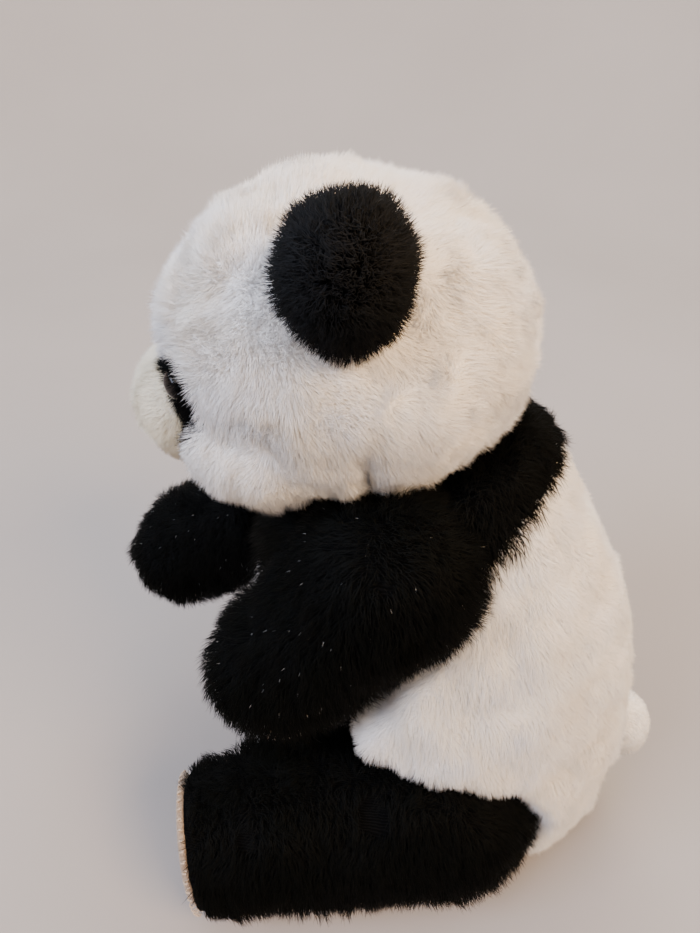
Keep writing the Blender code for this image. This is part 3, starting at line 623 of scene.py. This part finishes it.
for number, side in enumerate(SIDES):
    ears[side] = Skin(f"ear_skin_{side}", f"ear_{side}", [f"ear_front_{side}", f"ear_back_{side}"],
                      BLACK_KNIT, voxel=0.0014, swell=0.0004, rounds=20, lumps=0.0004,
                      seed=20 + number, fill=0.5)
    arms[side] = Skin(f"arm_skin_{side}", f"arm_{side}", [f"arm_cover_{side}", f"arm_stuffing_{side}"],
                      BLACK_KNIT, voxel=0.0018, swell=0.0004, rounds=30, lumps=0.0010,
                      seed=30 + number, fill=0.7, shaping=arm_underside)
    legs[side] = Skin(f"leg_skin_{side}", f"leg_{side}", [f"leg_cover_{side}", f"leg_stuffing_{side}"],
                      BLACK_KNIT, voxel=0.0018, swell=0.0004, rounds=30, lumps=0.0010,
                      seed=40 + number, fill=0.75)
    patches[side] = Skin(f"eye_patch_skin_{side}", "head", [f"eye_patch_{side}"],
                         BLACK_KNIT, voxel=0.0007, swell=0.0003, rounds=6, fill=0.4)
    soles[side] = Skin(f"sole_skin_{side}", f"leg_{side}", [f"sole_pad_{side}"],
                       BEIGE_FELT, voxel=0.0008, swell=0.0006, rounds=8, lumps=0.0002,
                       seed=60 + number, fill=0.3)
    paws[side] = Skin(f"paw_skin_{side}", f"arm_{side}", [f"paw_pad_{side}"],
                      BEIGE_FELT, voxel=0.0007, swell=0.0006, rounds=6, lumps=0.0002,
                      seed=70 + number, fill=0.3)
    eyes[side] = Skin(f"eye_bead_{side}", "head", [f"eye_{side}"],
                      EYE_PLASTIC, voxel=0.0004, swell=0.0004, rounds=20)


def bead_top(side):
    """Middle of the part of an eye bead that stands out of the face."""
    far = np.linalg.norm(eyes[side].points - HEAD, axis=1)
    return eyes[side].points[far > np.quantile(far, 0.7)].mean(0)


def above_seam(points):
    chest = (points[:, 1] < CHEST_Y) & (points[:, 2] > CHEST_Z)
    return chest | (points[:, 2] + SEAM_CURVE * np.abs(points[:, 0]) ** 3 > SEAM_Z - 0.001)


def blacken_shoulders():
    """The backing inside the neck opening belongs to the black yoke."""
    mesh = torso.object.data
    mesh.materials.append(BLACK_KNIT)
    centres = np.zeros(len(mesh.polygons) * 3, np.float32)
    mesh.polygons.foreach_get("center", centres)
    mesh.polygons.foreach_set("material_index", above_seam(centres.reshape(-1, 3)).astype(np.int32))


blacken_shoulders()
for node, finish in (("eye_washer_left", WASHER_PLASTIC), ("eye_washer_right", WASHER_PLASTIC),
                     ("nose_washer", WASHER_PLASTIC), ("seat_panel", WHITE_KNIT), ("pellet_bag", BAG_CLOTH),
                     ("mouth_stitch", BLACK_THREAD)):
    frame["nodes"][node].material_slots[0].material = finish


# ---------------------------------------------------------------- stitching round the pads
THREAD_RADIUS = 0.00035
STITCH_RISE = 0.0016         # how far a stitch arches over the edge, and how deep its ends sink
STITCH_SINK = 0.0004
STITCH_RINGS = 7
THREAD_SIDES = 6
LOWEST_STITCH = 0.0035


def stitch_points(middle, out, round_way, axis, reach):
    """Rings of points along one thread that arches from the pad over its edge."""
    points = []
    for ring in range(STITCH_RINGS):
        turn = math.pi * ring / (STITCH_RINGS - 1)
        place = middle - out * math.cos(turn) * reach + axis * (STITCH_RISE * math.sin(turn) - STITCH_SINK)
        direction = unit(out * math.sin(turn) + axis * (STITCH_RISE * math.cos(turn) / reach))
        lift = np.cross(direction, round_way)
        for corner in range(THREAD_SIDES):
            spin = math.tau * corner / THREAD_SIDES
            points.append(place + THREAD_RADIUS * (round_way * math.cos(spin) + lift * math.sin(spin)))
    return points


def stitch_faces(start):
    faces = []
    for ring in range(STITCH_RINGS - 1):
        for corner in range(THREAD_SIDES):
            low = start + ring * THREAD_SIDES + corner
            after = start + ring * THREAD_SIDES + (corner + 1) % THREAD_SIDES
            faces.append((low, after, after + THREAD_SIDES, low + THREAD_SIDES))
    return faces


def stitch_ring(name, body, pad, axis, reach, count):
    """Short threads over the edge of a round pad, each sunk into the fabric at both ends."""
    centre = pad.middle()
    side = unit(np.cross(axis, np.array((0.2, 0.1, 1.0))))
    other = np.cross(axis, side)
    rim = np.linalg.norm((pad.points - centre) - np.outer((pad.points - centre) @ axis, axis), axis=1)
    level = ((pad.points[rim > 0.93 * rim.max()] - centre) @ axis).mean()
    points = []
    faces = []
    for step in range(count):
        angle = math.tau * step / count
        out = side * math.cos(angle) + other * math.sin(angle)
        round_way = -side * math.sin(angle) + other * math.cos(angle)
        middle = centre + axis * level + out * (0.97 * rim.max())
        if middle[2] >= LOWEST_STITCH:
            faces += stitch_faces(len(points))
            points += stitch_points(middle, out, round_way, axis, reach)
    made = mesh_from(name, np.array(points), np.array(faces), BEIGE_THREAD)
    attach(made, body)


def leg_axis(side):
    """Direction of a leg, from its joint to its sole."""
    return unit(soles[side].middle() - np.array(JOINTS[f"leg_{side}_lift"]["pos_m"]))


def paw_axis(side):
    """Which way a paw pad faces: out through it from the middle of the arm's rounded end."""
    foremost = arms[side].points[arms[side].points[:, 1].argmin()]
    return unit(paws[side].middle() - (foremost + np.array((0.0, ARM_ROUND, 0.0))))


for side in SIDES:
    stitch_ring(f"sole_stitches_{side}", f"leg_{side}", soles[side], leg_axis(side), reach=0.0012, count=44)
    stitch_ring(f"paw_stitches_{side}", f"arm_{side}", paws[side], paw_axis(side), reach=0.0010, count=36)


# ---------------------------------------------------------------- the lay of the pile
def toward(target):
    """Lay of the pile that leads to one place."""
    return lambda points, normals: unit(target - points)


def along(*vector):
    return lambda points, normals: np.tile(unit(np.array(vector)), (len(points), 1))


def from_face(points, normals):
    """Away from the nose over the cheeks and crown, and falling a little."""
    return unit(points - MUZZLE) + 0.45 * DOWN


def from_neck(points, normals):
    return unit(points - NECK) + 0.3 * NECK_UP


def from_eye(eye):
    return lambda points, normals: unit(points - eye) + 0.2 * DOWN


def past_end(points, side):
    """How far along the leg each point is past the sole, negative on the leg."""
    return (points - soles[side].middle()) @ leg_axis(side)


def leg_lay(side):
    """Down over the leg, and near its end back from the lower part of the sole and forward over the rest."""
    def lay(points, normals):
        near = np.clip(1.0 + past_end(points, side) / 0.03, 0.0, 1.0)[:, None]
        upper = (points[:, 2:] > SOLE_TUFT_Z).astype(float)
        return unit(np.array((0.0, 0.1, -0.8)) - (1.8 - 1.7 * upper) * near * leg_axis(side))
    return lay


# ---------------------------------------------------------------- the length of the pile
def times(factor):
    return lambda points: np.full(len(points), factor)


def yoke_length(points):
    """The yoke's pile grows longer towards its lower edge, over which it hangs."""
    return 0.75 + 0.85 * np.clip((0.200 - points[:, 2]) / 0.030, 0.0, 1.0)


def leg_length(side):
    """Shorter pile near the sole, most of all under it."""
    def longer(points):
        near = np.clip(1.0 + past_end(points, side) / 0.016, 0.0, 1.0)
        return 1.0 - near * np.where(points[:, 2] < SOLE_TUFT_Z, 0.60, 0.30)
    return longer


def arm_length(side):
    """Pile that is a little longer along the lower back edge of the arm."""
    return lambda points: 0.95 + 0.20 * at_lower_back(points, arms[side].middle())


def distance_from(node):
    """Function for the distance from the surface of a thin node."""
    points = arrays(frame["nodes"][node].data)[0]
    tree = KDTree(len(points))
    for index, point in enumerate(points):
        tree.insert(point, index)
    tree.balance()
    return lambda places: np.array([tree.find(place)[2] for place in places])


def muzzle_length():
    """Pile that is clipped short round the nose and the mouth."""
    from_mouth = distance_from("mouth_stitch")

    def longer(points):
        close = np.minimum(from_mouth(points), np.linalg.norm(points - NOSE, axis=1) - 0.006)
        return np.clip(close / 0.010, 0.0, 1.0) * 0.65 + 0.35
    return longer


# ---------------------------------------------------------------- where pile grows
def clear_of(*skins, margin=0.0):
    """Keeps the places that are outside all the given skins."""
    def keep(points, normals):
        free = np.ones(len(points), bool)
        for skin in skins:
            low = skin.points.min(0) - 0.01
            high = skin.points.max(0) + 0.01
            near = np.flatnonzero(free & (points > low).all(1) & (points < high).all(1))
            if len(near):
                free[near] = skin.distance(points[near] + normals[near] * 0.002) > margin
        return free
    return keep


def all_of(*rules):
    """Keeps the places that every rule allows; later rules see only what is left."""
    def keep(points, normals):
        result = np.ones(len(points), bool)
        for rule in rules:
            left = np.flatnonzero(result)
            result[left] = rule(points[left], normals[left])
        return result
    return keep


def away_from(place, radius):
    return lambda points, normals: np.linalg.norm(points - place, axis=1) > radius


def above(height):
    return lambda points, normals: points[:, 2] > height


def below_seam(points, normals):
    return ~above_seam(points)


def outer_yoke(points, normals):
    """The side of the yoke that faces away from the neck."""
    return (normals * unit(points - NECK + 0.02 * DOWN)).sum(1) > -0.3


def on_collar(points, normals):
    """The flat shoulder under the head."""
    return above_seam(points) & ((normals @ NECK_UP) > 0.45)


def off_sole(side):
    """Keeps pile off the flat end of a leg."""
    return lambda points, normals: ((normals @ leg_axis(side)) < 0.25) & (past_end(points, side) < -0.0012)


# ---------------------------------------------------------------- pile on each skin
both_arms = tuple(arms.values())
both_legs = tuple(legs.values())
both_ears = tuple(ears.values())
both_patches = tuple(patches.values())
grow("body_pile", torso, LONG_WHITE, 420, along(0.0, 0.25, -1.0), 101,
     all_of(above(0.004), below_seam, clear_of(*both_arms, *both_legs, yoke), clear_of(tail)), times(0.85))
grow("yoke_pile", yoke, LONG_BLACK, 170, along(0.0, -0.35, -1.0), 102,
     all_of(clear_of(torso, *both_arms), outer_yoke), yoke_length)
grow("collar_pile", torso, LONG_BLACK, 150, from_neck, 108, all_of(on_collar, clear_of(neck, *both_arms)))
grow("head_pile", head, LONG_WHITE, 480, from_face, 103,
     all_of(clear_of(muzzle, *both_ears), clear_of(*both_patches, margin=0.0018)))
grow("muzzle_pile", muzzle, SHORT_CREAM, 480, from_face, 104,
     all_of(clear_of(head, *both_patches), away_from(NOSE, 0.006)), muzzle_length())
grow("neck_pile", neck, SHORT_BLACK, 120, along(0.0, 0.0, -1.0), 105, clear_of(head, torso))
grow("tail_pile", tail, LONG_WHITE, 420, along(0.0, 0.2, -1.0), 106, clear_of(torso), times(0.45))
for number, side in enumerate(SIDES):
    ear_middle = ears[side].middle()
    grow(f"ear_pile_{side}", ears[side], EAR_BLACK, 380,
         toward(ear_middle + 0.05 * unit(ear_middle - HEAD)), 110 + number, clear_of(head))
    grow(f"arm_pile_{side}", arms[side], LONG_BLACK, 160, along(0.0, 0.3, -1.0), 120 + number,
         clear_of(torso, yoke, paws[side]), arm_length(side))
    grow(f"leg_pile_{side}", legs[side], LONG_BLACK, 160, leg_lay(side), 130 + number,
         all_of(clear_of(torso), above(0.002), off_sole(side)), leg_length(side))
    grow(f"eye_patch_pile_{side}", patches[side], PATCH_BLACK, 900, from_eye(bead_top(side)), 140 + number,
         all_of(clear_of(head, margin=0.0008), away_from(bead_top(side), 0.0060)))
    grow(f"arm_lint_{side}", arms[side], LINT, 0.7, along(0.3, 0.3, -1.0), 150 + number,
         clear_of(torso, yoke, paws[side]), lift=0.0042)


# ---------------------------------------------------------------- stage, camera, light
FLAT_RADIUS = 0.9
CURVE_RADIUS = 0.9
CURVE_STEPS = 16
WALL_TOP = 1.15
FLOOR_STEPS = 96
LOOK_AT = (0.0, 0.0, 0.12)
CAMERA_PLACE = (0.2310, 0.0271, 0.3260)
CAMERA_ANGLES = (100.0, 33.0, -1.3)      # azimuth from the front, pitch down, roll
LENS = 27.0


def floor_profile():
    """Radius and height of the floor and the wall that it curves up into."""
    profile = [(0.001, 0.0), (0.5, 0.0), (FLAT_RADIUS, 0.0)]
    for step in range(1, CURVE_STEPS + 1):
        turn = math.pi / 2 * step / CURVE_STEPS
        profile.append((FLAT_RADIUS + CURVE_RADIUS * math.sin(turn), CURVE_RADIUS * (1.0 - math.cos(turn))))
    profile.append((FLAT_RADIUS + CURVE_RADIUS, WALL_TOP))
    return profile


def paper_material():
    made, tree, shader = new_material("floor_paper", 0.8, 0.1)
    tone = ramp(tree, noise(tree, 3.0), (0.3, (0.31, 0.280, 0.255)), (0.7, (0.33, 0.298, 0.272)))
    tree.links.new(tone, shader.inputs["Base Color"])
    return made


def stage():
    """Floor that curves up into a backdrop all round."""
    profile = floor_profile()
    points = []
    for radius, height in profile:
        for step in range(FLOOR_STEPS):
            angle = math.tau * step / FLOOR_STEPS
            points.append((radius * math.cos(angle), radius * math.sin(angle), height - 0.0002))
    faces = [tuple(range(FLOOR_STEPS))]
    for ring in range(len(profile) - 1):
        for step in range(FLOOR_STEPS):
            low = ring * FLOOR_STEPS + step
            after = ring * FLOOR_STEPS + (step + 1) % FLOOR_STEPS
            faces.append((low, low + FLOOR_STEPS, after + FLOOR_STEPS, after))
    mesh = bpy.data.meshes.new("floor")
    mesh.from_pydata(points, [], faces)
    mesh.shade_smooth()
    mesh.materials.append(paper_material())
    link("floor", mesh)


def area_light(name, place, size, power, colour):
    data = bpy.data.lights.new(name, "AREA")
    data.size = size
    data.energy = power
    data.color = colour
    made = link(name, data)
    made.location = place
    made.rotation_euler = (Vector(LOOK_AT) - Vector(place)).to_track_quat("-Z", "Y").to_euler()


def world(colour, strength):
    made = bpy.data.worlds.new("studio")
    made.use_nodes = True
    background = made.node_tree.nodes["Background"]
    background.inputs["Color"].default_value = (*colour, 1.0)
    background.inputs["Strength"].default_value = strength
    bpy.context.scene.world = made


def camera():
    azimuth, pitch, roll = (math.radians(angle) for angle in CAMERA_ANGLES)
    level = math.cos(pitch)
    back = Vector((math.sin(azimuth) * level, -math.cos(azimuth) * level, math.sin(pitch)))
    right = (-back).cross(UP).normalized()
    down = (-back).cross(right)
    side = math.cos(roll) * right + math.sin(roll) * down
    lower = -math.sin(roll) * right + math.cos(roll) * down
    data = bpy.data.cameras.new("camera")
    data.lens = LENS
    data.sensor_width = 36.0
    data.clip_start = 0.01
    made = link("camera", data)
    made.matrix_world = Matrix.Translation(CAMERA_PLACE) @ Matrix((side, -lower, back)).transposed().to_4x4()
    bpy.context.scene.camera = made


stage()
camera()
world((0.80, 0.86, 1.0), 1.72)
area_light("key", (1.1, 1.7, 1.7), size=1.2, power=128.0, colour=(1.0, 0.66, 0.35))
area_light("fill", (1.5, -1.6, 1.5), size=1.4, power=160.0, colour=(0.70, 0.77, 1.0))
area_light("back", (-1.7, 0.0, 1.8), size=1.4, power=42.0, colour=(1.0, 0.90, 0.80))
